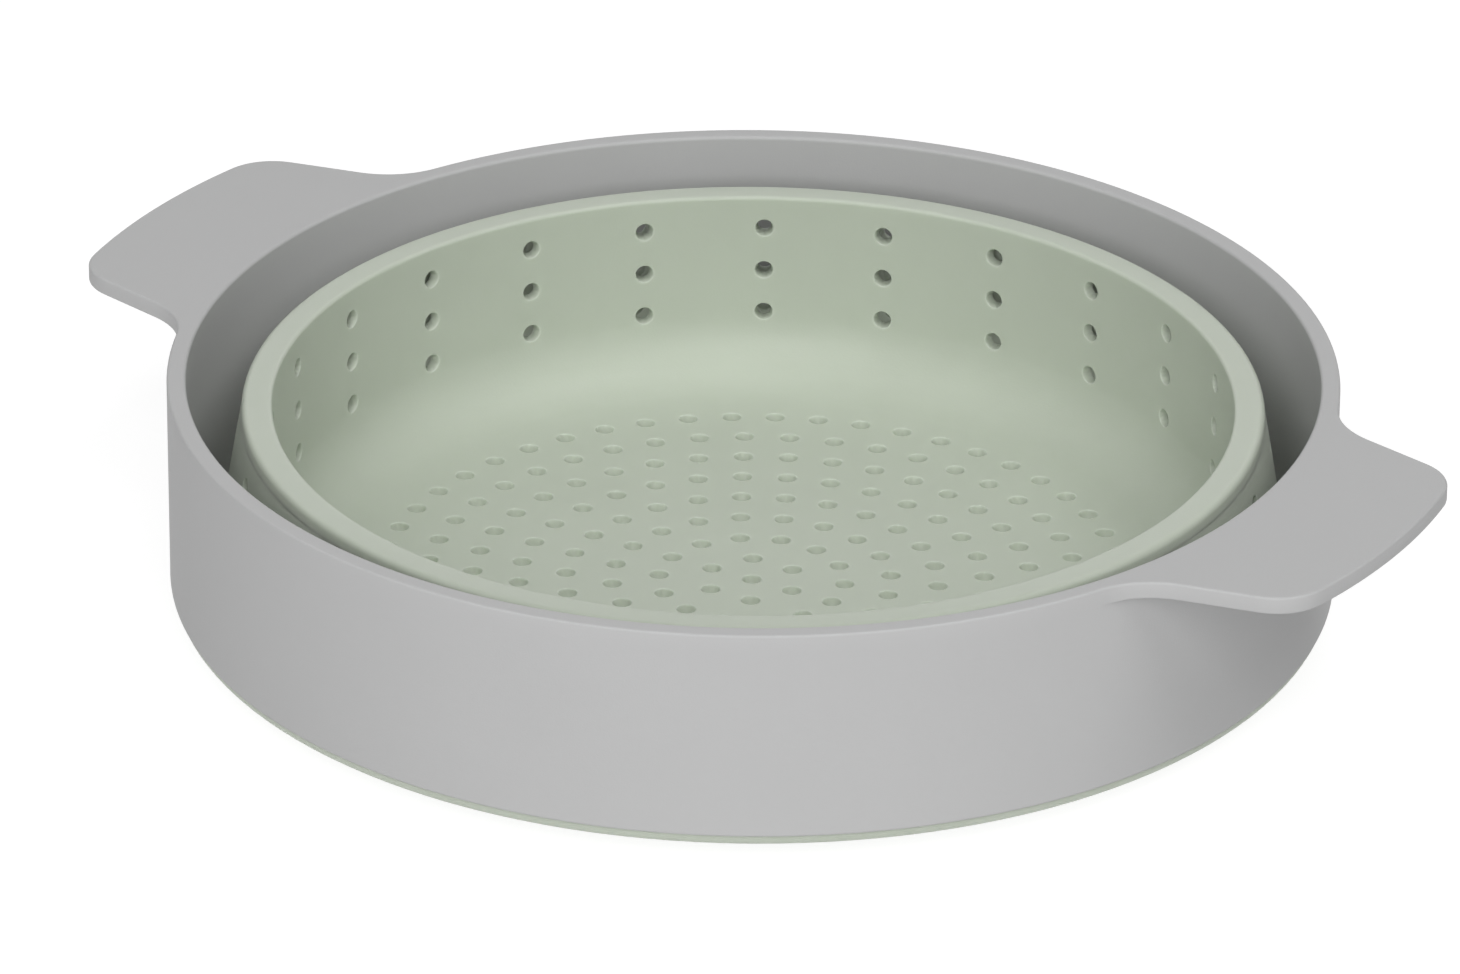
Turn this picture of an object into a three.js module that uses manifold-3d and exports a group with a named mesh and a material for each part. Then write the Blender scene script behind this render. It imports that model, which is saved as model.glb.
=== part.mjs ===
// Folding silicone steamer basket in a rigid collar with two tab handles.
// Millimetres, +Z up, origin under the middle of the base, +X along the handles.
// The basket is shown folded up inside the collar.

import * as THREE from 'three';
import { mergeGeometries, mergeVertices } from 'three/addons/utils/BufferGeometryUtils.js';
import Module from 'manifold-3d';

const wasm = await Module();
wasm.setup();

// Rigid collar
const COLLAR_RADIUS = 122;
const COLLAR_WALL = 4;
const COLLAR_DEPTH = 44.4;
const RIM_EASE = 0.8;

// Tab handles
const TAB_REACH = 28.5;
const TAB_THICKNESS = 3.7;
const TAB_HALF_WIDTH = 39.8;
const TAB_TAPER = THREE.MathUtils.degToRad(13);
const TAB_CORNER = 12;
const TAB_EASE = 0.6;
const ROOT_FILLET = 18;
const ROOT_OVERLAP = 2;

// Silicone skin, shared by the floor and both layers of the wall
const SKIN = 2.2;
const FIT_GAP = 0.3;

// Foot flange under the collar, and its rib in the collar's groove
const FOOT_CLEARANCE = 3.4;
const FOOT_THICKNESS = 3.2;
const FOOT_INSET = 1;
const FOOT_ROUND = 2;
const FOOT_PASSAGE = 3.3;
const RIB_WIDTH = 1;
const RIB_HEIGHT = 2.7;
const RIB_INSET = 2;

// Folded wall: the lip at its top, the inner layer and the flared outer layer
const TROUGH = 11.8;
const LIP_DROP = 6.3;
const LIP_WIDTH = 6;
const LIP_DEPTH = 3.3;
const LIP_OUTER_ROUND = 2;
const LIP_INNER_ROUND = 1;
const OUTER_LAYER_STEP = 0.2;
const OUTER_LAYER_FLARE = 6;
const FLOOR_FILLET = 14;
const CORNER_DROP = 4;

// Steam holes
const FLOOR_HOLE_RADIUS = 1.8;
const FLOOR_RING_MARGIN = 7.8;
const FLOOR_RING_COUNTS = [6, 14, 20, 26, 32, 38, 44, 52];
const WALL_HOLE_RADIUS = 1.9;
const WALL_COLUMNS = 24;
const WALL_ROWS = 3;
const INNER_TOP_ROW_DROP = 7.1;
const INNER_LOW_ROW_RISE = 1.4;
const OUTER_TOP_ROW_DROP = 9.2;
const OUTER_LOW_ROW_RISE = 8.9;
const CUT_PAST = 2;

// Facets of the round faces
const SEGMENTS = 72;
const HOLE_SIDES = 6;
const CORNER_STEPS = 2;
const FILLET_STEPS = 4;
const OUTLINE_STEPS = 7;

// Heights above the base
const collarBottom = FOOT_CLEARANCE + FOOT_THICKNESS;
const rimTop = collarBottom + COLLAR_DEPTH;
const lipTop = rimTop - LIP_DROP;
const lipUnder = lipTop - LIP_DEPTH;
const filletTop = SKIN + FLOOR_FILLET;

// Radii
const collarBore = COLLAR_RADIUS - COLLAR_WALL;
const lipOuter = collarBore - TROUGH;
const lipInner = lipOuter - LIP_WIDTH;
const floorEdge = lipInner - FLOOR_FILLET;
const outerLayerTop = lipOuter + OUTER_LAYER_STEP;
const outerLayerFoot = outerLayerTop + OUTER_LAYER_FLARE;
const ribMiddle = COLLAR_RADIUS - RIB_INSET;

// Angle of half a facet, so that each column of holes falls in the middle of a facet
const HALF_FACET = Math.PI / SEGMENTS;

const nylon = new THREE.MeshStandardMaterial({ color: '#b9babb', roughness: 0.55, metalness: 0 });
const silicone = new THREE.MeshStandardMaterial({ color: '#b3bba9', roughness: 0.5, metalness: 0 });

// Points of an arc in the half plane (radius, height), both ends included.
function arc(middleRadius, middleHeight, radius, from, to, steps) {
  const points = [];
  for (let step = 0; step <= steps; step += 1) {
    const angle = from + ((to - from) * step) / steps;
    const across = middleRadius + radius * Math.cos(angle);
    const up = middleHeight + radius * Math.sin(angle);
    points.push(new THREE.Vector2(across, up));
  }
  return points;
}

// Keeps only the positions of a geometry and joins the vertices that coincide.
function weld(geometry) {
  const bare = new THREE.BufferGeometry();
  bare.setAttribute('position', geometry.getAttribute('position').clone());
  if (geometry.index) bare.setIndex(geometry.index.clone());
  return mergeVertices(bare, 1e-4);
}

// A ring turned about Z from a closed outline that runs anticlockwise in (radius, height).
function turnedRing(outline) {
  const closed = [...outline, outline[0].clone()];
  const lathe = new THREE.LatheGeometry(closed, SEGMENTS, HALF_FACET);
  lathe.rotateX(Math.PI / 2);
  return weld(lathe);
}

function toSolid(geometry) {
  const welded = weld(geometry);
  const mesh = new wasm.Mesh({
    numProp: 3,
    vertProperties: new Float32Array(welded.getAttribute('position').array),
    triVerts: new Uint32Array(welded.index.array),
  });
  return new wasm.Manifold(mesh);
}

function toGeometry(solid) {
  const mesh = solid.getMesh();
  const geometry = new THREE.BufferGeometry();
  geometry.setAttribute('position', new THREE.BufferAttribute(mesh.vertProperties, 3));
  geometry.setIndex(new THREE.BufferAttribute(mesh.triVerts, 1));
  return geometry;
}

function named(name, geometry, material) {
  const mesh = new THREE.Mesh(geometry, material);
  mesh.name = name;
  mesh.geometry.computeVertexNormals();
  return mesh;
}

// Outline of one tab: two tapering sides, a tip arc about the collar's own middle,
// rounded tip corners, and hollow fillets that run into the collar's wall.
function tabOutline() {
  const tipRadius = COLLAR_RADIUS + TAB_REACH;
  const along = new THREE.Vector2(Math.cos(TAB_TAPER), -Math.sin(TAB_TAPER));
  const outward = new THREE.Vector2(Math.sin(TAB_TAPER), Math.cos(TAB_TAPER));
  const sideOffset = outward.dot(new THREE.Vector2(COLLAR_RADIUS, TAB_HALF_WIDTH));
  const onSide = (offset, reach) => {
    const run = Math.sqrt(reach * reach - offset * offset);
    return outward.clone().multiplyScalar(offset).addScaledVector(along, run);
  };
  const root = onSide(sideOffset + ROOT_FILLET, COLLAR_RADIUS + ROOT_FILLET);
  const corner = onSide(sideOffset - TAB_CORNER, tipRadius - TAB_CORNER);
  const side = outward.angle();
  const rootTurn = root.angle();
  const cornerTurn = corner.angle();
  const shape = new THREE.Shape();
  shape.absarc(root.x, -root.y, ROOT_FILLET, Math.PI - rootTurn, Math.PI - side, true);
  shape.absarc(corner.x, -corner.y, TAB_CORNER, -side, -cornerTurn, false);
  shape.absarc(0, 0, tipRadius, -cornerTurn, cornerTurn, false);
  shape.absarc(corner.x, corner.y, TAB_CORNER, cornerTurn, side, false);
  shape.absarc(root.x, root.y, ROOT_FILLET, side - Math.PI, rootTurn - Math.PI, true);
  shape.absarc(0, 0, COLLAR_RADIUS - ROOT_OVERLAP, rootTurn, -rootTurn, true);
  return shape;
}

function tab(turn) {
  const geometry = new THREE.ExtrudeGeometry(tabOutline(), {
    depth: TAB_THICKNESS - 2 * TAB_EASE,
    curveSegments: OUTLINE_STEPS,
    bevelThickness: TAB_EASE,
    bevelSize: TAB_EASE,
    bevelOffset: -TAB_EASE,
    bevelSegments: 1,
  });
  geometry.translate(0, 0, rimTop - TAB_THICKNESS + TAB_EASE);
  geometry.rotateZ(turn);
  return toSolid(geometry);
}

// Collar and both tabs are one moulding, with a groove for the foot's rib underneath.
function collar() {
  const grooveReach = RIB_WIDTH / 2 + FIT_GAP;
  const grooveTop = collarBottom + RIB_HEIGHT + FIT_GAP;
  const wall = toSolid(turnedRing([
    new THREE.Vector2(collarBore, collarBottom),
    new THREE.Vector2(ribMiddle - grooveReach, collarBottom),
    new THREE.Vector2(ribMiddle - grooveReach, grooveTop),
    new THREE.Vector2(ribMiddle + grooveReach, grooveTop),
    new THREE.Vector2(ribMiddle + grooveReach, collarBottom),
    new THREE.Vector2(COLLAR_RADIUS, collarBottom),
    new THREE.Vector2(COLLAR_RADIUS, rimTop - RIM_EASE),
    new THREE.Vector2(COLLAR_RADIUS - RIM_EASE, rimTop),
    new THREE.Vector2(collarBore + RIM_EASE, rimTop),
    new THREE.Vector2(collarBore, rimTop - RIM_EASE),
  ]));
  return named('collar', toGeometry(wall.add(tab(0)).add(tab(Math.PI))), nylon);
}

// Flange under the collar, with a rounded outer foot and a rib up into the groove.
function footRing() {
  const outer = COLLAR_RADIUS - FOOT_INSET;
  const bore = lipOuter + FOOT_PASSAGE;
  const ribTop = collarBottom + RIB_HEIGHT;
  const quarter = Math.PI / 2;
  const footArcUp = FOOT_CLEARANCE + FOOT_ROUND;
  const geometry = turnedRing([
    new THREE.Vector2(bore, FOOT_CLEARANCE),
    ...arc(outer - FOOT_ROUND, footArcUp, FOOT_ROUND, -quarter, 0, CORNER_STEPS),
    new THREE.Vector2(outer, collarBottom),
    new THREE.Vector2(ribMiddle + RIB_WIDTH / 2, collarBottom),
    new THREE.Vector2(ribMiddle + RIB_WIDTH / 2, ribTop),
    new THREE.Vector2(ribMiddle - RIB_WIDTH / 2, ribTop),
    new THREE.Vector2(ribMiddle - RIB_WIDTH / 2, collarBottom),
    new THREE.Vector2(bore, collarBottom),
  ]);
  return named('foot_ring', geometry, silicone);
}

// Rows and columns of radial cutters that go right through a layer of the wall.
function wallCutters(faceRadius, topRow, lowRow) {
  const cutters = [];
  const rowPitch = (topRow - lowRow) / (WALL_ROWS - 1);
  for (let row = 0; row < WALL_ROWS; row += 1) {
    const height = topRow - row * rowPitch;
    const length = SKIN + 2 * CUT_PAST;
    const middle = faceRadius(height) + SKIN / 2;
    for (let column = 0; column < WALL_COLUMNS; column += 1) {
      const cutter = new THREE.CylinderGeometry(WALL_HOLE_RADIUS, WALL_HOLE_RADIUS, length, HOLE_SIDES);
      cutter.rotateZ(-Math.PI / 2);
      cutter.translate(middle, 0, height);
      cutter.rotateZ((2 * Math.PI * column) / WALL_COLUMNS);
      cutters.push(weld(cutter));
    }
  }
  return toSolid(mergeGeometries(cutters));
}

// Outer layer of the fold: a flared skin from the foot's flange up to the lip.
function outerLayer() {
  const top = lipUnder - FIT_GAP;
  const skin = toSolid(turnedRing([
    new THREE.Vector2(outerLayerFoot - SKIN, collarBottom),
    new THREE.Vector2(outerLayerFoot, collarBottom),
    new THREE.Vector2(outerLayerTop, top),
    new THREE.Vector2(outerLayerTop - SKIN, top),
  ]));
  const innerFace = (height) => {
    const share = (top - height) / (top - collarBottom);
    return outerLayerTop - SKIN + OUTER_LAYER_FLARE * share;
  };
  const topRow = lipTop - OUTER_TOP_ROW_DROP;
  const lowRow = collarBottom + OUTER_LOW_ROW_RISE;
  const cut = skin.subtract(wallCutters(innerFace, topRow, lowRow));
  return named('outer_layer', toGeometry(cut), silicone);
}

// Lip and inner layer of the wall, down to where the corner piece takes over.
function basketWall() {
  const quarter = Math.PI / 2;
  const outerArcIn = lipOuter - LIP_OUTER_ROUND;
  const outerArcUp = lipTop - LIP_OUTER_ROUND;
  const innerArcOut = lipInner + LIP_INNER_ROUND;
  const innerArcUp = lipTop - LIP_INNER_ROUND;
  const backTurn = filletTurn(FLOOR_FILLET + SKIN);
  const frontTurn = filletTurn(FLOOR_FILLET);
  const wall = toSolid(turnedRing([
    ...arc(floorEdge, filletTop, FLOOR_FILLET + SKIN, backTurn, 0, CORNER_STEPS),
    new THREE.Vector2(lipInner + SKIN, lipUnder),
    new THREE.Vector2(lipOuter, lipUnder),
    ...arc(outerArcIn, outerArcUp, LIP_OUTER_ROUND, 0, quarter, CORNER_STEPS),
    ...arc(innerArcOut, innerArcUp, LIP_INNER_ROUND, quarter, 2 * quarter, CORNER_STEPS),
    ...arc(floorEdge, filletTop, FLOOR_FILLET, 0, frontTurn, CORNER_STEPS),
  ]));
  const topRow = lipTop - INNER_TOP_ROW_DROP;
  const lowRow = filletTop + INNER_LOW_ROW_RISE;
  const cut = wall.subtract(wallCutters(() => lipInner, topRow, lowRow));
  return named('basket_wall', toGeometry(cut), silicone);
}

// Angle on an arc of the floor's fillet at the height where the corner piece ends.
function filletTurn(radius) {
  return -Math.asin(CORNER_DROP / radius);
}

// Rounded corner between the wall and the floor.
function basketCorner() {
  const quarter = Math.PI / 2;
  const backRadius = FLOOR_FILLET + SKIN;
  const backTurn = filletTurn(backRadius);
  const frontTurn = filletTurn(FLOOR_FILLET);
  const geometry = turnedRing([
    ...arc(floorEdge, filletTop, backRadius, -quarter, backTurn, FILLET_STEPS),
    ...arc(floorEdge, filletTop, FLOOR_FILLET, frontTurn, -quarter, FILLET_STEPS),
  ]);
  return named('basket_corner', geometry, silicone);
}

// A regular ring of points, as a closed path for a shape.
function polygon(middleX, middleY, radius, sides, start) {
  const points = [];
  for (let side = 0; side < sides; side += 1) {
    const angle = start + (2 * Math.PI * side) / sides;
    const x = middleX + radius * Math.cos(angle);
    const y = middleY + radius * Math.sin(angle);
    points.push(new THREE.Vector2(x, y));
  }
  return points;
}

// Round floor with one hole in the middle and rings of holes about it.
function basketFloor() {
  const disc = polygon(0, 0, floorEdge - FIT_GAP, SEGMENTS, HALF_FACET);
  const shape = new THREE.Shape(disc);
  const addHole = (x, y, turn) => {
    shape.holes.push(new THREE.Path(polygon(x, y, FLOOR_HOLE_RADIUS, HOLE_SIDES, turn)));
  };
  const ringPitch = (floorEdge - FLOOR_RING_MARGIN) / FLOOR_RING_COUNTS.length;
  addHole(0, 0, 0);
  FLOOR_RING_COUNTS.forEach((count, index) => {
    const ringRadius = ringPitch * (index + 1);
    for (let hole = 0; hole < count; hole += 1) {
      const turn = (2 * Math.PI * hole) / count;
      addHole(ringRadius * Math.cos(turn), ringRadius * Math.sin(turn), turn);
    }
  });
  const geometry = new THREE.ExtrudeGeometry(shape, { depth: SKIN, bevelEnabled: false });
  return named('basket_floor', weld(geometry), silicone);
}

const steamer = new THREE.Group();
steamer.name = 'silicone_steamer';
steamer.add(collar(), footRing(), outerLayer(), basketWall(), basketCorner(), basketFloor());

export default steamer;
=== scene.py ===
"""Dresses the folding steamer basket: fine moulded meshes, finishes, studio and camera."""

import logging
import math
from dataclasses import dataclass
from enum import Enum

import bmesh
import bpy
import numpy as np
from mathutils import Matrix, Vector
from mathutils.geometry import delaunay_2d_cdt


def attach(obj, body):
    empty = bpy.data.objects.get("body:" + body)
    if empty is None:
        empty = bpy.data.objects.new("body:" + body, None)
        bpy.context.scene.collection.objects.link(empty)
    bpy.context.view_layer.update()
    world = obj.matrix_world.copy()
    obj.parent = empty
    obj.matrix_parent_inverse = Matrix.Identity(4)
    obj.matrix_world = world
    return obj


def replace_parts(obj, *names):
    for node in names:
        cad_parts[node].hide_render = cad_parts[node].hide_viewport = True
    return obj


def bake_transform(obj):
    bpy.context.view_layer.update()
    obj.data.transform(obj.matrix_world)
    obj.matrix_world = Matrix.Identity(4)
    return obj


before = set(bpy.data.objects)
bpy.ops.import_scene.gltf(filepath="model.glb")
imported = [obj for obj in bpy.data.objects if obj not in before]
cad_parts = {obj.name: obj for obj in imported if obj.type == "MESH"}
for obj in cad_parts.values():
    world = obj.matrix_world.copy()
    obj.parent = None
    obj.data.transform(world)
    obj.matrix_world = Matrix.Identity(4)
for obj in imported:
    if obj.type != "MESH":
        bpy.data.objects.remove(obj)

LOG = logging.getLogger("steamer")
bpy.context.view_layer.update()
MM = 0.001
FULL_TURN = 360.0
WHITE = (1.0, 1.0, 1.0, 1.0)
# Width of the plain strip that keeps the shading flat beside a rounded edge, in millimetres.
GUARD = 0.3

Point = tuple[float, float]
Number = np.ndarray | float


class Body(Enum):
    """The rigid bodies of the frame."""

    COLLAR = "collar"
    BASKET = "basket"


class Slot(Enum):
    """The material slots of the record."""

    NYLON = "grey_nylon"
    SILICONE = "sage_silicone"


class Face(Enum):
    """The two faces of a skin, each with its depth as a share of the skin's thickness."""

    FRONT = 0
    BACK = 1


class Facing(Enum):
    """Whether a skin's front face looks away from the basket's axis or towards it."""

    OUTWARD = 1.0
    INWARD = -1.0


class Way(Enum):
    """Directions in the half plane of radius and height, in degrees."""

    OUT = 0.0
    UP = 90.0
    IN = 180.0
    DOWN = 270.0


class Crossing(Enum):
    """At which of its two crossings with a circle a ray ends."""

    FAR = 1.0
    NEAR = -1.0


def arc(middle: Point, radius: float, start: Way, end: Way, steps: int) -> list[Point]:
    """Points along an arc in the half plane of radius and height, the short way round.

    Args:
        middle: Centre of the arc, in millimetres.
        radius: Radius of the arc, in millimetres.
        start: Direction of the first point from the centre.
        end: Direction of the last point from the centre.
        steps: Number of steps along the arc.

    Returns:
        The points, both ends included.
    """
    sweep = math.remainder(end.value - start.value, FULL_TURN)
    angles = np.radians(np.linspace(start.value, start.value + sweep, steps + 1))
    return [(middle[0] + radius * math.cos(a), middle[1] + radius * math.sin(a)) for a in angles]


def eased(radius: float, steps: int) -> list[Point]:
    """Profile of a rounded edge, from a flat face to the side that it turns into.

    Args:
        radius: Radius of the rounding.
        steps: Number of steps along it.

    Returns:
        For each point, its distance from the side and its depth under the flat face.
    """
    turns = np.radians(np.linspace(Way.UP.value, Way.OUT.value, steps + 1))
    return [(radius * (1 - math.cos(t)), radius * (1 - math.sin(t))) for t in turns]


def turned(radius: Number, angle: Number, height: Number) -> np.ndarray:
    """Points about the basket's axis.

    Args:
        radius: Distances from the axis.
        angle: Angles round the axis, in radians.
        height: Heights above the basket's underside.

    Returns:
        The points, with x, y and z along the last axis.
    """
    parts = np.broadcast_arrays(radius * np.cos(angle), radius * np.sin(angle), height)
    return np.stack(parts, axis=-1)


def toward(azimuth: float, elevation: float) -> Vector:
    """Direction from the basket to a place round it.

    Args:
        azimuth: Angle round the basket from its front, in degrees, growing to the right.
        elevation: Angle above the table, in degrees.

    Returns:
        The direction, of length one.
    """
    turn, lift = math.radians(azimuth), math.radians(elevation)
    return Vector((math.sin(turn) * math.cos(lift), -math.cos(turn) * math.cos(lift), math.sin(lift)))


def set_inputs(node: bpy.types.Node, values: dict[str, float | tuple[float, ...]]) -> None:
    """Sets a node's inputs by name."""
    for name, value in values.items():
        node.inputs[name].default_value = value


def add_math(tree: bpy.types.NodeTree, operation: str,
             *values: bpy.types.NodeSocket | float) -> bpy.types.NodeSocket:
    """Adds one Math node.

    Args:
        tree: Node tree that takes the node.
        operation: Name of the operation.
        values: Socket or number for each of the node's inputs.

    Returns:
        The node's output socket.
    """
    node = tree.nodes.new("ShaderNodeMath")
    node.operation = operation
    for socket, value in zip(node.inputs, values):
        if isinstance(value, bpy.types.NodeSocket):
            tree.links.new(value, socket)
        else:
            socket.default_value = value
    return node.outputs[0]


class MouldedGrain:
    """Node group shared by both mouldings: fine tool grain and a faint cloudiness."""

    NAME = "moulded_grain"
    INPUTS = {
        "Color": "NodeSocketColor",
        "Mottle": "NodeSocketFloat",
        "Mottle Scale": "NodeSocketFloat",
        "Roughness": "NodeSocketFloat",
        "Roughness Spread": "NodeSocketFloat",
        "Grain Scale": "NodeSocketFloat",
    }
    OUTPUTS = {
        "Color": "NodeSocketColor",
        "Roughness": "NodeSocketFloat",
        "Height": "NodeSocketFloat",
    }
    CLOUD = {"Detail": 4.0, "Roughness": 0.5}
    GRAIN = {"Detail": 3.0, "Roughness": 0.6}
    NOISE_MEAN = 0.5

    def group(self) -> bpy.types.NodeTree:
        """The group, made the first time it is asked for."""
        return bpy.data.node_groups.get(self.NAME) or self._make()

    def _make(self) -> bpy.types.NodeTree:
        """Builds the group's sockets and nodes.

        Returns:
            The new node group.
        """
        tree = bpy.data.node_groups.new(self.NAME, "ShaderNodeTree")
        for end, sockets in (("INPUT", self.INPUTS), ("OUTPUT", self.OUTPUTS)):
            for name, kind in sockets.items():
                tree.interface.new_socket(name, in_out=end, socket_type=kind)
        given = tree.nodes.new("NodeGroupInput").outputs
        out = tree.nodes.new("NodeGroupOutput").inputs
        cloud = self._noise(tree, given["Mottle Scale"], self.CLOUD)
        grain = self._noise(tree, given["Grain Scale"], self.GRAIN)
        tree.links.new(grain, out["Height"])

        shift = add_math(tree, "SUBTRACT", cloud, self.NOISE_MEAN)
        mottle = add_math(tree, "MULTIPLY_ADD", shift, given["Mottle"], 1.0)
        tint = tree.nodes.new("ShaderNodeVectorMath")
        tint.operation = "SCALE"
        tree.links.new(given["Color"], tint.inputs[0])
        tree.links.new(mottle, tint.inputs["Scale"])
        tree.links.new(tint.outputs["Vector"], out["Color"])

        both = add_math(tree, "ADD", cloud, grain)
        swing = add_math(tree, "SUBTRACT", both, 2 * self.NOISE_MEAN)
        rough = add_math(tree, "MULTIPLY_ADD", swing, given["Roughness Spread"], given["Roughness"])
        tree.links.new(rough, out["Roughness"])
        return tree

    @staticmethod
    def _noise(tree: bpy.types.NodeTree, scale: bpy.types.NodeSocket,
               look: dict[str, float]) -> bpy.types.NodeSocket:
        """Adds a noise that is fixed to the piece.

        Args:
            tree: Node tree that takes the nodes.
            scale: Socket that sets how fine the noise is.
            look: The noise's other inputs.

        Returns:
            The noise's socket.
        """
        place = tree.nodes.new("ShaderNodeTexCoord")
        noise = tree.nodes.new("ShaderNodeTexNoise")
        set_inputs(noise, look)
        tree.links.new(place.outputs["Object"], noise.inputs["Vector"])
        tree.links.new(scale, noise.inputs["Scale"])
        return noise.outputs["Fac"]


@dataclass(frozen=True)
class MouldedFinish:
    """A satin moulded surface with tool grain and faint cloudiness.

    Depths and lengths are in metres, and scales count the noise's features in a metre.
    """

    EVEN_SCATTER = (1.0, 1.0, 1.0)

    name: str
    slot: Slot
    color: tuple[float, float, float]
    roughness: float
    roughness_spread: float
    mottle: float
    mottle_scale: float
    grain_scale: float
    grain_depth: float
    mirror: float
    translucency: float = 0.0
    scatter: float = 0.001

    def material(self) -> bpy.types.Material:
        """The finish's material, made the first time it is asked for."""
        return bpy.data.materials.get(self.name) or self._make()

    def _make(self) -> bpy.types.Material:
        """Builds the material.

        Returns:
            The new material.
        """
        material = bpy.data.materials.new(self.name)
        material.use_nodes = True
        tree = material.node_tree
        shader = tree.nodes["Principled BSDF"]
        set_inputs(shader, {
            "Specular IOR Level": self.mirror,
            "Subsurface Weight": self.translucency,
            "Subsurface Radius": self.EVEN_SCATTER,
            "Subsurface Scale": self.scatter,
        })
        grain = tree.nodes.new("ShaderNodeGroup")
        grain.node_tree = MouldedGrain().group()
        set_inputs(grain, {
            "Color": (*self.color, 1.0),
            "Mottle": self.mottle,
            "Mottle Scale": self.mottle_scale,
            "Roughness": self.roughness,
            "Roughness Spread": self.roughness_spread,
            "Grain Scale": self.grain_scale,
        })
        bump = tree.nodes.new("ShaderNodeBump")
        set_inputs(bump, {"Strength": 1.0, "Distance": self.grain_depth})
        tree.links.new(grain.outputs["Color"], shader.inputs["Base Color"])
        tree.links.new(grain.outputs["Roughness"], shader.inputs["Roughness"])
        tree.links.new(grain.outputs["Height"], bump.inputs["Height"])
        tree.links.new(bump.outputs["Normal"], shader.inputs["Normal"])
        return material


GREY_NYLON = MouldedFinish(
    name="grey_nylon_satin", slot=Slot.NYLON, color=(0.517, 0.518, 0.519), roughness=0.55,
    roughness_spread=0.10, mottle=0.05, mottle_scale=38.0, grain_scale=2600.0,
    grain_depth=0.000035, mirror=0.22)
SAGE_SILICONE = MouldedFinish(
    name="sage_silicone_satin", slot=Slot.SILICONE, color=(0.541, 0.588, 0.503), roughness=0.44,
    roughness_spread=0.12, mottle=0.06, mottle_scale=52.0, grain_scale=1900.0,
    grain_depth=0.000025, mirror=0.25, translucency=0.75, scatter=0.0025)


class MeshDraft:
    """Points, in millimetres, and faces of one piece while it is being built."""

    # Points nearer than this become one point, and edges bent by more than this stay sharp.
    WELD = 0.001 * MM
    SHARP = math.radians(60.0)

    def __init__(self) -> None:
        """Starts with no points and no faces."""
        self.points: list[np.ndarray] = []
        self.faces: list[tuple[int, ...]] = []
        self.count = 0

    def add(self, points: np.ndarray) -> np.ndarray:
        """Adds points.

        Args:
            points: Array whose last axis is x, y, z.

        Returns:
            The points' numbers, in the array's leading shape.
        """
        flat = np.asarray(points, float).reshape(-1, 3)
        numbers = np.arange(self.count, self.count + len(flat))
        self.points.append(flat)
        self.count += len(flat)
        return numbers.reshape(np.shape(points)[:-1])

    def bridge(self, first: np.ndarray, second: np.ndarray) -> None:
        """Joins two closed loops of the same length with quads.

        Args:
            first: Numbers of the first loop's points.
            second: Numbers of the second loop's points.
        """
        after_first, after_second = np.roll(first, -1), np.roll(second, -1)
        quads = np.stack([first, after_first, after_second, second], axis=1)
        self.faces.extend(map(tuple, quads.tolist()))

    def bridge_all(self, loops: list[np.ndarray]) -> None:
        """Joins each closed loop to the next."""
        for first, second in zip(loops, loops[1:]):
            self.bridge(first, second)

    def to_object(self, name: str, finish: MouldedFinish) -> bpy.types.Object:
        """Makes the piece, facing out and smooth, with its finish.

        Args:
            name: Name of the piece.
            finish: Finish that the piece takes.

        Returns:
            The new object, linked into the scene.
        """
        mesh = bpy.data.meshes.new(name)
        mesh.from_pydata((np.concatenate(self.points) * MM).tolist(), [], self.faces)
        draft = bmesh.new()
        draft.from_mesh(mesh)
        bmesh.ops.remove_doubles(draft, verts=draft.verts, dist=self.WELD)
        bmesh.ops.recalc_face_normals(draft, faces=draft.faces)
        draft.to_mesh(mesh)
        draft.free()
        mesh.polygons.foreach_set("use_smooth", np.ones(len(mesh.polygons), bool))
        mesh.set_sharp_from_angle(angle=self.SHARP)
        mesh.materials.append(finish.material())
        piece = bpy.data.objects.new(name, mesh)
        bpy.context.collection.objects.link(piece)
        return piece


@dataclass(frozen=True)
class SteamHole:
    """A round hole with eased edges through a skin, in millimetres.

    The radius is that of the front face, and the taper is how much smaller the back face's is.
    """

    radius: float
    taper: float = 0.0
    ease: float = 0.16
    ease_steps: int = 2

    def rings(self, skin: float) -> list[Point]:
        """Radius and depth of each ring from the front face to the back face.

        Args:
            skin: Thickness of the skin.

        Returns:
            The rings, each as radius and depth.
        """
        edge = [(self.ease + GUARD, 0.0), *eased(self.ease, self.ease_steps)]
        front = [(self.radius + out, depth) for out, depth in edge]
        back = [(self.radius - self.taper + out, skin - depth) for out, depth in reversed(edge)]
        return front + back


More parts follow.
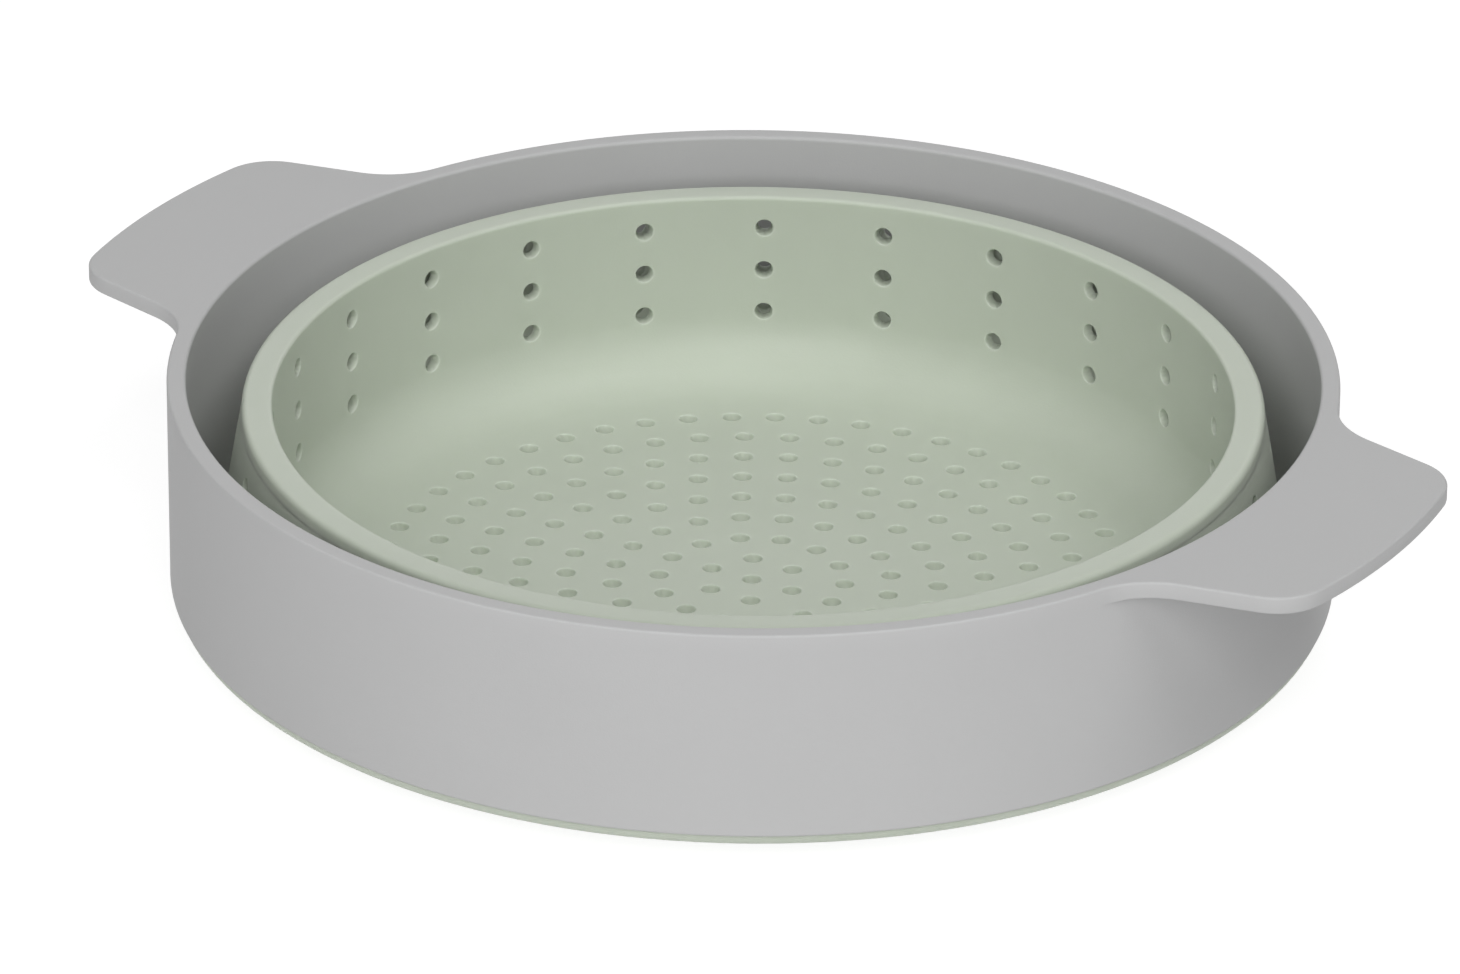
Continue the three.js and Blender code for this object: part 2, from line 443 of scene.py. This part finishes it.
@dataclass(frozen=True)
class Section:
    """The front line of a skin in the half plane: a fillet arc and a straight, by length along it."""

    straight: tuple[Point, Point]
    facing: Facing
    fillet_middle: Point | None = None
    fillet_radius: float = 0.0

    @property
    def fillet_length(self) -> float:
        """Length of the quarter arc before the straight."""
        return self.fillet_radius * math.pi / 2

    @property
    def length(self) -> float:
        """Length of the whole line."""
        return self.fillet_length + math.dist(*self.straight)

    def length_at(self, height: float) -> float:
        """Length along the line at a height on the straight."""
        (_, low), (_, high) = self.straight
        return self.fillet_length + math.dist(*self.straight) * (height - low) / (high - low)

    def place(self, along: np.ndarray, depth: float) -> tuple[np.ndarray, np.ndarray]:
        """Radius and height of points under the front line.

        Args:
            along: Length along the line.
            depth: Depth under the front face.

        Returns:
            Radii and heights.
        """
        (low_r, low_z), (high_r, high_z) = self.straight
        run = math.dist(*self.straight)
        step_r, step_z = (high_r - low_r) / run, (high_z - low_z) / run
        past = along - self.fillet_length
        radius, height = low_r + step_r * past, low_z + step_z * past
        normal_r = np.full_like(along, step_z * self.facing.value)
        normal_z = np.full_like(along, -step_r * self.facing.value)
        if self.fillet_middle is not None:
            turn = along / self.fillet_radius - math.pi / 2
            bent = along < self.fillet_length
            radius = np.where(bent, self.fillet_middle[0] + self.fillet_radius * np.cos(turn), radius)
            height = np.where(bent, self.fillet_middle[1] + self.fillet_radius * np.sin(turn), height)
            normal_r = np.where(bent, -np.cos(turn), normal_r)
            normal_z = np.where(bent, -np.sin(turn), normal_z)
        return radius - normal_r * depth, height - normal_z * depth


@dataclass(frozen=True)
class RoundGrid:
    """The angles round the basket, in radians, closer together where the columns of holes are."""

    columns: int = 24
    patch_half_angle: float = math.radians(1.66)
    patch_steps: int = 6
    between_steps: int = 5

    @property
    def per_column(self) -> int:
        """Steps from one column of holes to the next."""
        return self.patch_steps + self.between_steps

    def angles(self) -> np.ndarray:
        """Works out every angle round the basket.

        Returns:
            The angles, from the start of the first column's patch.
        """
        pitch = 2 * math.pi / self.columns
        half = self.patch_half_angle
        patch = np.linspace(-half, half, self.patch_steps + 1)
        between = np.linspace(half, pitch - half, self.between_steps + 1)
        one = np.concatenate([patch[:-1], between[:-1]])
        return np.concatenate([one + pitch * column for column in range(self.columns)])

    def rings(self, draft: MeshDraft, outline: list[Point]) -> list[np.ndarray]:
        """Adds a level ring for each point of an outline.

        Args:
            draft: Mesh that takes the rings.
            outline: Radius and height of each ring.

        Returns:
            The numbers of each ring's points.
        """
        angles = self.angles()
        return [draft.add(turned(radius, angles, height)) for radius, height in outline]


@dataclass(frozen=True)
class SharedSizes:
    """Sizes that more than one piece is built to, in millimetres."""

    collar_radius: float = 122.0
    collar_bottom: float = 6.1
    skin: float = 2.2
    seam_radius: float = 106.8
    seam_height: float = 41.8
    grid: RoundGrid = RoundGrid()


@dataclass
class PerforatedSkin:
    """A turned skin with columns and rows of round holes, in millimetres."""

    # Direction of a patch's first corner from the hole's middle, in degrees.
    FIRST_CORNER = 225.0

    section: Section
    hole: SteamHole
    row_heights: tuple[float, ...]
    skin: float
    grid: RoundGrid
    patch_half: float = 2.9
    fill_step: float = 2.2

    def lengths(self) -> tuple[np.ndarray, list[int]]:
        """Lengths along the section where the mesh has lines.

        Returns:
            The lengths, and for each row of holes the number of its patch's first line.
        """
        lines: list[float] = []
        firsts: list[int] = []
        reached = 0.0
        for height in sorted(self.row_heights):
            middle = self.section.length_at(height)
            low, high = middle - self.patch_half, middle + self.patch_half
            lines.extend(self._fill(reached, low)[:-1])
            firsts.append(len(lines))
            lines.extend(np.linspace(low, high, self.grid.patch_steps + 1)[:-1])
            reached = high
        lines.extend(self._fill(reached, self.section.length))
        return np.array(lines), firsts

    def _fill(self, start: float, end: float) -> np.ndarray:
        """Evenly spaced lengths between two patches, both ends included."""
        steps = max(1, round((end - start) / self.fill_step))
        return np.linspace(start, end, steps + 1)

    def build(self, draft: MeshDraft) -> dict[Face, np.ndarray]:
        """Adds both faces and every hole.

        Args:
            draft: Mesh that takes the skin.

        Returns:
            The numbers of each face's points, by line and angle, for the pieces that join on.
        """
        lines, firsts = self.lengths()
        angles = self.grid.angles()
        grids: dict[Face, np.ndarray] = {}
        for face in Face:
            radius, height = self.section.place(lines, self.skin * face.value)
            grids[face] = draft.add(turned(radius[:, None], angles, height[:, None]))
            self._plain_faces(draft, grids[face], firsts)
        for first in firsts:
            for column in range(self.grid.columns):
                self._hole(draft, grids, lines, angles, first, column * self.grid.per_column)
        return grids

    def _plain_faces(self, draft: MeshDraft, grid: np.ndarray, firsts: list[int]) -> None:
        """Adds the quads of one face, apart from the holes' patches.

        Args:
            draft: Mesh that takes the quads.
            grid: Numbers of the face's points, by line and angle.
            firsts: First line of each row of patches.
        """
        steps = self.grid.patch_steps
        patch_lines = {line for first in firsts for line in range(first, first + steps)}
        across = np.roll(grid, -1, axis=1)
        for line in range(len(grid) - 1):
            for turn in range(grid.shape[1]):
                if line in patch_lines and turn % self.grid.per_column < steps:
                    continue
                draft.faces.append((grid[line, turn], across[line, turn],
                                    across[line + 1, turn], grid[line + 1, turn]))

    def _hole(self, draft: MeshDraft, grids: dict[Face, np.ndarray], lines: np.ndarray,
              angles: np.ndarray, first: int, left: int) -> None:
        """Adds one hole, from its patch on the front face to its patch on the back face.

        Args:
            draft: Mesh that takes the hole.
            grids: Numbers of the faces' points.
            lines: Lengths along the section.
            angles: Angles round the basket.
            first: The patch's first line.
            left: The patch's first angle.
        """
        steps = self.grid.patch_steps
        span = range(steps)
        edge = ([(first, left + k) for k in span] + [(first + k, left + steps) for k in span]
                + [(first + steps, left + steps - k) for k in span]
                + [(first + steps - k, left) for k in span])
        middle_along = lines[first + steps // 2]
        middle_angle = angles[left + steps // 2]
        turns = np.radians(self.FIRST_CORNER + FULL_TURN / len(edge) * np.arange(len(edge)))
        loops = [np.array([grids[Face.FRONT][spot] for spot in edge])]
        for reach, depth in self.hole.rings(self.skin):
            radius, height = self.section.place(middle_along + reach * np.sin(turns), depth)
            angle = middle_angle + reach * np.cos(turns) / radius
            loops.append(draft.add(turned(radius, angle, height)))
        loops.append(np.array([grids[Face.BACK][spot] for spot in edge]))
        draft.bridge_all(loops)


@dataclass
class TabOutline:
    """Plan of one tab handle, as a distance from the collar's middle by angle, in millimetres."""

    collar_radius: float
    reach: float = 28.9
    half_width: float = 39.8
    taper: float = math.radians(13.0)
    corner: float = 12.0
    root: float = 18.0

    def distance(self, angle: float, inset: float) -> float:
        """Distance of the outline, drawn in by an inset, from the collar's middle.

        Args:
            angle: Angle from the handle's own line, in radians.
            inset: How far the outline is drawn in.

        Returns:
            The distance, which is the collar's own wall outside the tab.
        """
        angle = abs(angle)
        ray = Vector((math.cos(angle), math.sin(angle)))
        out = self._side_normal()
        side = out.dot(Vector((self.collar_radius, self.half_width)))
        tip = self.collar_radius + self.reach
        root = self._on_side(side + self.root, self.collar_radius + self.root)
        corner = self._on_side(side - self.corner, tip - self.corner)
        if angle >= self._angle(root):
            return self.collar_radius - inset
        if angle <= self._angle(corner):
            return tip - inset
        if angle <= self._angle(corner + (self.corner - inset) * out):
            return self._meet(ray, corner, self.corner - inset, Crossing.FAR)
        if angle <= self._angle(root - (self.root + inset) * out):
            return (side - inset) / out.dot(ray)
        return self._meet(ray, root, self.root + inset, Crossing.NEAR)

    def _side_normal(self) -> Vector:
        """Direction that the tab's tapered side faces."""
        return Vector((math.sin(self.taper), math.cos(self.taper)))

    def _on_side(self, offset: float, distance: float) -> Vector:
        """The centre of a rounding beside the tab's tapered side.

        Args:
            offset: Distance of the side's parallel through the centre from the collar's middle.
            distance: Distance of the centre from the collar's middle.

        Returns:
            The centre.
        """
        run = math.sqrt(distance**2 - offset**2)
        return offset * self._side_normal() + run * Vector((math.cos(self.taper), -math.sin(self.taper)))

    @staticmethod
    def _angle(point: Vector) -> float:
        """Angle of a point from the handle's own line."""
        return math.atan2(point.y, point.x)

    @staticmethod
    def _meet(ray: Vector, middle: Vector, radius: float, crossing: Crossing) -> float:
        """Distance from the collar's middle at which a ray meets a circle."""
        along = ray.dot(middle)
        return along + crossing.value * math.sqrt(max(0.0, along**2 - middle.length_squared + radius**2))


@dataclass
class CollarMoulding:
    """Rigid collar with both tab handles in one moulding, in millimetres.

    Near a tab's root, where it stands out little, its roundings take at most a share of that.
    """

    shared: SharedSizes
    wall: float = 4.0
    top: float = 51.0
    ease: float = 0.5
    bore_ease: float = 0.7
    ease_steps: int = 4
    bottom_ease: float = 0.2
    bottom_steps: int = 2
    tab_thickness: float = 3.7
    tab_ease: float = 0.45
    tab_fillet: float = 1.4
    fillet_steps: int = 3
    rounding_share: float = 0.3
    guard_share: float = 0.1
    tab_span: float = math.radians(25.0)
    tab_steps: int = 150
    plain_steps: int = 90

    def build(self) -> bpy.types.Object:
        """Builds the moulding, dresses it and sets it on the collar body.

        Returns:
            The finished piece.
        """
        draft = MeshDraft()
        tab = TabOutline(self.shared.collar_radius)
        loops = []
        for angle, turn in self._angles():
            outline = np.array(self._outline(tab, angle))
            loops.append(draft.add(turned(outline[:, 0], turn, outline[:, 1])))
        draft.bridge_all([*loops, loops[0]])
        piece = draft.to_object("collar_moulding", GREY_NYLON)
        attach(piece, Body.COLLAR.value)
        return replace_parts(piece, "collar")

    def _angles(self) -> list[tuple[float, float]]:
        """Angles round the collar, closer together across each tab.

        Returns:
            For each, the angle from the nearer tab's line and the angle round the collar.
        """
        across = np.linspace(-self.tab_span, self.tab_span, self.tab_steps + 1)[:-1]
        plain = np.linspace(self.tab_span, math.pi - self.tab_span, self.plain_steps + 1)[:-1]
        half = [(float(a), float(a)) for a in across] + [(math.pi / 2, float(a)) for a in plain]
        return half + [(a, turn + math.pi) for a, turn in half]

    def _outline(self, tab: TabOutline, angle: float) -> list[Point]:
        """Closed outline of the moulding's cut at one angle.

        Args:
            tab: Plan of the tab.
            angle: Angle from the tab's own line, in radians.

        Returns:
            The outline, as radius and height.
        """
        radius, bottom, top = self.shared.collar_radius, self.shared.collar_bottom, self.top
        bore = radius - self.wall
        under = top - self.tab_thickness
        low = self.bottom_ease
        stand = tab.distance(angle, 0.0) - radius
        fillet = min(self.tab_fillet, self.rounding_share * stand)
        edge = min(self.tab_ease, self.rounding_share * stand)
        spare = min(GUARD, self.guard_share * stand)
        lower = [(tab.distance(angle, inset), under + depth)
                 for inset, depth in eased(edge, self.ease_steps)]
        upper = [(tab.distance(angle, inset), top - depth)
                 for inset, depth in reversed(eased(self.ease, self.ease_steps))]
        bore_middle = (bore + self.bore_ease, top - self.bore_ease)
        return [
            *arc((bore + low, bottom + low), low, Way.IN, Way.DOWN, self.bottom_steps),
            (bore + low + GUARD, bottom),
            (radius - low - GUARD, bottom),
            *arc((radius - low, bottom + low), low, Way.DOWN, Way.OUT, self.bottom_steps),
            (radius, bottom + low + GUARD),
            (radius, under - self.tab_fillet - GUARD),
            *arc((radius + fillet, under - fillet), fillet, Way.IN, Way.UP, self.fillet_steps),
            (radius + fillet + spare, under),
            (tab.distance(angle, edge + spare), under),
            *lower,
            *upper,
            (tab.distance(angle, self.ease + GUARD), top),
            (bore_middle[0] + GUARD, top),
            *arc(bore_middle, self.bore_ease, Way.UP, Way.IN, self.ease_steps),
            (bore, bore_middle[1] - GUARD),
            (bore, bottom + low + GUARD),
        ]


@dataclass
class FoldSkin:
    """Flared outer layer of the fold and the foot flange under the collar, in millimetres."""

    shared: SharedSizes
    foot_radius: float = 112.6
    foot_gap: float = 0.02
    foot_bottom: float = 3.4
    flange_step: float = 0.5
    flange_round: float = 2.2
    flange_ease: float = 0.15
    trough_fillet: float = 2.0
    bore_round: float = 2.6
    turn_offset: float = 0.15
    turn_steps: int = 5
    ease_steps: int = 2
    round_steps: int = 6
    layer_low: float = 9.2
    bend_heights: tuple[float, float] = (5.3, 44.0)
    row_heights: tuple[float, ...] = (35.5, 25.5, 15.5)
    hole: SteamHole = SteamHole(1.9)

    def build(self) -> bpy.types.Object:
        """Builds the skin and dresses it.

        Returns:
            The finished piece.
        """
        draft = MeshDraft()
        low = (self.foot_radius, self.layer_low)
        high = (self.shared.seam_radius, self.shared.seam_height)
        section = Section(straight=(low, high), facing=Facing.OUTWARD)
        layer = PerforatedSkin(section, self.hole, self.row_heights, self.shared.skin, self.shared.grid)
        faces = layer.build(draft)
        draft.bridge(faces[Face.FRONT][-1], faces[Face.BACK][-1])
        self._foot(draft, faces, section)
        piece = draft.to_object("fold_skin", SAGE_SILICONE)
        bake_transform(piece)
        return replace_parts(piece, "outer_layer", "foot_ring")

    def _foot(self, draft: MeshDraft, faces: dict[Face, np.ndarray], section: Section) -> None:
        """Adds the trough's floor, the flange's rounded foot and the turn up into the layer's back.

        Args:
            draft: Mesh that takes the foot.
            faces: Numbers of the layer's points, whose first lines the foot joins.
            section: Section of the layer.
        """
        fillet, bore = self.trough_fillet, self.bore_round
        ease, rounding = self.flange_ease, self.flange_round
        top, bottom = self.shared.collar_bottom - self.foot_gap, self.foot_bottom
        flange_radius = self.shared.collar_radius - self.flange_step
        back_radius, _ = section.place(np.array([0.0]), self.shared.skin)
        fillet_middle = (self.foot_radius + fillet + self.turn_offset, top + fillet)
        ease_middle = (flange_radius - ease, top - ease)
        round_middle = (flange_radius - rounding, bottom + rounding)
        bore_middle = (float(back_radius[0]) + bore + self.turn_offset, bottom + bore)
        outline = [
            *arc(fillet_middle, fillet, Way.IN, Way.DOWN, self.turn_steps),
            (ease_middle[0] - GUARD, top),
            *arc(ease_middle, ease, Way.UP, Way.OUT, self.ease_steps),
            *arc(round_middle, rounding, Way.OUT, Way.DOWN, self.round_steps),
            (round_middle[0] - GUARD, bottom),
            (bore_middle[0] + GUARD, bottom),
            *arc(bore_middle, bore, Way.DOWN, Way.IN, self.turn_steps),
        ]
        rings = self.shared.grid.rings(draft, outline)
        draft.bridge_all([faces[Face.FRONT][0], *rings, faces[Face.BACK][0]])


@dataclass
class BasketShell:
    """Lip, inner wall, rounded corner and perforated floor of the basket, in millimetres."""

    # The kind of triangulation that the floor takes, and how near two points count as one.
    TRIANGLES = 0
    SAME_POINT = 1e-5
    # A triangle lies in a hole if its middle is within this share of the hole's radius.
    IN_HOLE = 0.98

    shared: SharedSizes
    floor_edge: float = 86.2
    fillet: float = 14.0
    wall_top: float = 41.6
    lip_top: float = 44.7
    lip_radius: float = 106.6
    lip_inner_round: float = 0.7
    lip_inner_steps: int = 4
    lip_outer_round: float = 1.4
    lip_outer_steps: int = 6
    row_heights: tuple[float, ...] = (37.3, 27.3, 17.3)
    wall_hole: SteamHole = SteamHole(1.95, taper=0.5)
    floor_hole: SteamHole = SteamHole(2.0, taper=0.5)
    floor_hole_sides: int = 20
    ring_pitch: float = 9.8
    ring_counts: tuple[int, ...] = (6, 14, 20, 26, 32, 38, 44, 52)

    @property
    def wall_radius(self) -> float:
        """Radius of the inner wall, where the corner's arc ends."""
        return self.floor_edge + self.fillet

    def build(self) -> bpy.types.Object:
        """Builds the shell, dresses it and sets it on the basket body.

        Returns:
            The finished piece.
        """
        draft = MeshDraft()
        corner_top = self.shared.skin + self.fillet
        section = Section(
            straight=((self.wall_radius, corner_top), (self.wall_radius, self.wall_top)),
            facing=Facing.INWARD, fillet_middle=(self.floor_edge, corner_top), fillet_radius=self.fillet)
        wall = PerforatedSkin(section, self.wall_hole, self.row_heights, self.shared.skin, self.shared.grid)
        faces = wall.build(draft)
        self._lip(draft, faces)
        self._floor(draft, faces)
        piece = draft.to_object("basket_shell", SAGE_SILICONE)
        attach(piece, Body.BASKET.value)
        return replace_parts(piece, "basket_wall", "basket_corner", "basket_floor")

    def _lip(self, draft: MeshDraft, faces: dict[Face, np.ndarray]) -> None:
        """Adds the rolled lip from the top of the inner face over to the top of the back face.

        Args:
            draft: Mesh that takes the lip.
            faces: Numbers of the wall's points, whose last lines the lip joins.
        """
        inner, outer, top = self.lip_inner_round, self.lip_outer_round, self.lip_top
        skin, seam, seam_height = self.shared.skin, self.shared.seam_radius, self.shared.seam_height
        inner_middle = (self.wall_radius + inner, top - inner)
        outer_middle = (self.lip_radius - outer, top - outer)
        outline = [
            (self.wall_radius, inner_middle[1] - GUARD),
            *arc(inner_middle, inner, Way.IN, Way.UP, self.lip_inner_steps),
            (inner_middle[0] + GUARD, top),
            (outer_middle[0] - GUARD, top),
            *arc(outer_middle, outer, Way.UP, Way.OUT, self.lip_outer_steps),
            (seam, seam_height),
            (seam - skin, seam_height),
            (self.wall_radius + skin, seam_height),
        ]
        rings = self.shared.grid.rings(draft, outline)
        draft.bridge_all([faces[Face.FRONT][-1], *rings, faces[Face.BACK][-1]])

    def hole_spots(self) -> np.ndarray:
        """Middle of each hole in the floor: one at the centre and rings about it.

        Returns:
            The middles, with x and y along the last axis.
        """
        spots = [np.zeros((1, 2))]
        for ring, count in enumerate(self.ring_counts, start=1):
            spots.append(ring * self.ring_pitch * self._circle(count))
        return np.concatenate(spots)

    @staticmethod
    def _circle(count: int) -> np.ndarray:
        """Evenly spaced directions in the floor's plane."""
        turns = 2 * math.pi * np.arange(count) / count
        return np.stack([np.cos(turns), np.sin(turns)], axis=-1)

    def _floor(self, draft: MeshDraft, faces: dict[Face, np.ndarray]) -> None:
        """Adds the flat floor with its holes between the two edges of the corner.

        Args:
            draft: Mesh that takes the floor.
            faces: Numbers of the wall's points, whose first lines are the floor's edge.
        """
        circle = self._circle(self.floor_hole_sides)
        rings = self.floor_hole.rings(self.shared.skin)
        spots = self.hole_spots()
        layers = []
        for reach, depth in rings:
            flat = spots[:, None] + reach * circle
            height = np.full((*flat.shape[:2], 1), self.shared.skin - depth)
            layers.append(draft.add(np.concatenate([flat, height], axis=-1)))
        for hole in range(len(spots)):
            draft.bridge_all([layer[hole] for layer in layers])
        triangles = self._floor_triangles(spots, circle, rings[0][0])
        for face, layer in ((Face.FRONT, layers[0]), (Face.BACK, layers[-1])):
            numbers = np.concatenate([faces[face][0], layer.ravel()])
            draft.faces.extend(map(tuple, numbers[triangles].tolist()))

    def _floor_triangles(self, spots: np.ndarray, circle: np.ndarray, reach: float) -> np.ndarray:
        """Triangles of the flat floor outside its holes, which serve both faces.

        Args:
            spots: Middle of each hole.
            circle: Directions of a hole's corners.
            reach: Radius of the front face's outermost ring.

        Returns:
            Triangles as numbers into the edge's points followed by the holes' points.
        """
        edge = turned(self.floor_edge, self.shared.grid.angles(), 0.0)[:, :2]
        holes = (spots[:, None] + reach * circle).reshape(-1, 2)
        corners = [Vector(point) for point in np.concatenate([edge, holes]).tolist()]
        loops = [np.arange(len(edge))]
        loops += [len(edge) + np.arange(len(circle)) + len(circle) * hole for hole in range(len(spots))]
        edges = [pair for loop in loops for pair in zip(loop.tolist(), np.roll(loop, -1).tolist())]
        made, _, cells, origin, _, _ = delaunay_2d_cdt(corners, edges, [], self.TRIANGLES, self.SAME_POINT)
        source = np.array([numbers[0] for numbers in origin])
        cells = np.array(cells)
        middles = np.array([tuple(point) for point in made])[cells].mean(axis=1)
        gaps = np.linalg.norm(middles[:, None] - spots, axis=-1)
        return source[cells[gaps.min(axis=1) > reach * self.IN_HOLE]]


@dataclass(frozen=True)
class SoftBox:
    """A square soft box that faces the basket, in degrees, watts and metres."""

    name: str
    azimuth: float
    elevation: float
    power: float
    side: float = 1.95
    distance: float = 3.0

    def build(self) -> None:
        """Makes the lamp at its place round the basket."""
        place = self.distance * toward(self.azimuth, self.elevation)
        lamp = bpy.data.lights.new(self.name, "AREA")
        lamp.shape = "SQUARE"
        lamp.size = self.side
        lamp.energy = self.power
        box = bpy.data.objects.new(self.name, lamp)
        box.location = place
        box.rotation_mode = "QUATERNION"
        box.rotation_quaternion = (-place).to_track_quat("-Z", "Y")
        bpy.context.collection.objects.link(box)


@dataclass
class Studio:
    """White light table, faint room light and soft boxes, in metres.

    The table's glow lights the holes from below. Its lift, which shows only to the camera, in reflections
    and through glass, makes it white.
    """

    floor_radius: float = 9.0
    floor_sides: int = 96
    floor_gap: float = 0.0001
    floor_color: tuple[float, float, float] = (0.30, 0.30, 0.30)
    floor_roughness: float = 0.9
    floor_glow: float = 0.40
    floor_lift: float = 0.44
    room_light: float = 0.11
    boxes: tuple[SoftBox, ...] = (
        SoftBox("front_box", azimuth=25.0, elevation=31.0, power=50.5),
        SoftBox("low_box", azimuth=20.0, elevation=12.0, power=8.0),
        SoftBox("right_box", azimuth=96.0, elevation=65.0, power=29.0),
        SoftBox("left_box", azimuth=-28.8, elevation=65.0, power=8.5),
        SoftBox("back_box", azimuth=211.2, elevation=35.0, power=8.0),
    )

    def build(self) -> None:
        """Makes the floor, the room light and the soft boxes."""
        self._floor()
        self._room()
        for box in self.boxes:
            box.build()

    def _floor(self) -> None:
        """Makes a wide pale table that stays just under the basket."""
        mesh = bpy.data.meshes.new("studio_floor")
        draft = bmesh.new()
        sunk = Matrix.Translation((0.0, 0.0, -self.floor_gap))
        bmesh.ops.create_circle(
            draft, cap_ends=True, segments=self.floor_sides, radius=self.floor_radius, matrix=sunk)
        draft.to_mesh(mesh)
        draft.free()
        mesh.materials.append(self._paper())
        floor = bpy.data.objects.new("studio_floor", mesh)
        bpy.context.collection.objects.link(floor)
        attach(floor, Body.BASKET.value)

    def _paper(self) -> bpy.types.Material:
        """Makes the table's paper, which keeps shadows, glows into the holes and looks white.

        Returns:
            The new material.
        """
        material = bpy.data.materials.new("studio_paper")
        material.use_nodes = True
        tree = material.node_tree
        shader = tree.nodes["Principled BSDF"]
        set_inputs(shader, {
            "Base Color": (*self.floor_color, 1.0),
            "Roughness": self.floor_roughness,
            "Specular IOR Level": 0.0,
            "Emission Color": WHITE,
        })
        glow = add_math(tree, "MULTIPLY_ADD", self._seen(tree), self.floor_lift, self.floor_glow)
        tree.links.new(glow, shader.inputs["Emission Strength"])
        return material

    @staticmethod
    def _seen(tree: bpy.types.NodeTree) -> bpy.types.NodeSocket:
        """Adds a value that is one where the camera sees a surface straight, mirrored or through glass.

        Args:
            tree: Node tree that takes the nodes.

        Returns:
            The value's socket.
        """
        path = tree.nodes.new("ShaderNodeLightPath").outputs
        straight_or_mirrored = add_math(tree, "MAXIMUM", path["Is Camera Ray"], path["Is Glossy Ray"])
        return add_math(tree, "MAXIMUM", straight_or_mirrored, path["Is Transmission Ray"])

    def _room(self) -> None:
        """Makes the even room light, which the camera sees as white."""
        world = bpy.data.worlds.new("studio_room")
        bpy.context.scene.world = world
        world.use_nodes = True
        tree = world.node_tree
        light = tree.nodes["Background"]
        set_inputs(light, {"Color": WHITE, "Strength": self.room_light})
        white = tree.nodes.new("ShaderNodeBackground")
        set_inputs(white, {"Color": WHITE})
        mix = tree.nodes.new("ShaderNodeMixShader")
        tree.links.new(self._seen(tree), mix.inputs[0])
        tree.links.new(light.outputs[0], mix.inputs[1])
        tree.links.new(white.outputs[0], mix.inputs[2])
        tree.links.new(mix.outputs[0], tree.nodes["World Output"].inputs["Surface"])


@dataclass
class PhotoCamera:
    """A long lens that stands where the photograph was taken, in degrees and metres.

    The focal length and the width are in the photograph's pixels, and the sensor is in millimetres.
    """

    azimuth: float = 31.2
    elevation: float = 25.54
    distance: float = 2.1143
    target_height: float = 0.051
    pan: float = 0.127
    tilt: float = -0.663
    roll: float = -0.486
    focal_pixels: float = 10160.0
    image_width: float = 1460.0
    sensor: float = 36.0
    nearest: float = 0.05
    farthest: float = 50.0

    def build(self) -> None:
        """Makes the camera and hands it to the scene."""
        lens = bpy.data.cameras.new("photo_camera")
        lens.sensor_width = self.sensor
        lens.lens = self.focal_pixels / self.image_width * self.sensor
        lens.clip_start = self.nearest
        lens.clip_end = self.farthest
        camera = bpy.data.objects.new("photo_camera", lens)
        camera.matrix_world = self._stand()
        bpy.context.collection.objects.link(camera)
        bpy.context.scene.camera = camera

    def _stand(self) -> Matrix:
        """Works out the camera's place and the way it faces.

        Returns:
            The camera's matrix.
        """
        turn = math.radians(self.azimuth)
        back = toward(self.azimuth, self.elevation)
        right = Vector((math.cos(turn), math.sin(turn), 0.0))
        up = back.cross(right)
        forward = -back
        pan = Matrix.Rotation(math.radians(self.pan), 3, up)
        forward, right = pan @ forward, pan @ right
        tilt = Matrix.Rotation(math.radians(self.tilt), 3, right)
        forward, up = tilt @ forward, tilt @ up
        roll = Matrix.Rotation(math.radians(self.roll), 3, forward)
        right, up = roll @ right, roll @ up
        return Matrix((
            (right.x, up.x, -forward.x, back.x * self.distance),
            (right.y, up.y, -forward.y, back.y * self.distance),
            (right.z, up.z, -forward.z, back.z * self.distance + self.target_height),
            (0.0, 0.0, 0.0, 1.0)))


def main() -> None:
    """Builds the camera, the studio and each piece in order."""
    logging.basicConfig(level=logging.INFO, format="%(name)s: %(message)s")
    bpy.context.scene.view_settings.view_transform = "Standard"
    PhotoCamera().build()
    Studio().build()
    shared = SharedSizes()
    for maker in (CollarMoulding(shared), FoldSkin(shared), BasketShell(shared)):
        piece = maker.build()
        LOG.info("%s: %d faces", piece.name, len(piece.data.polygons))


if __name__ == "__main__":
    main()
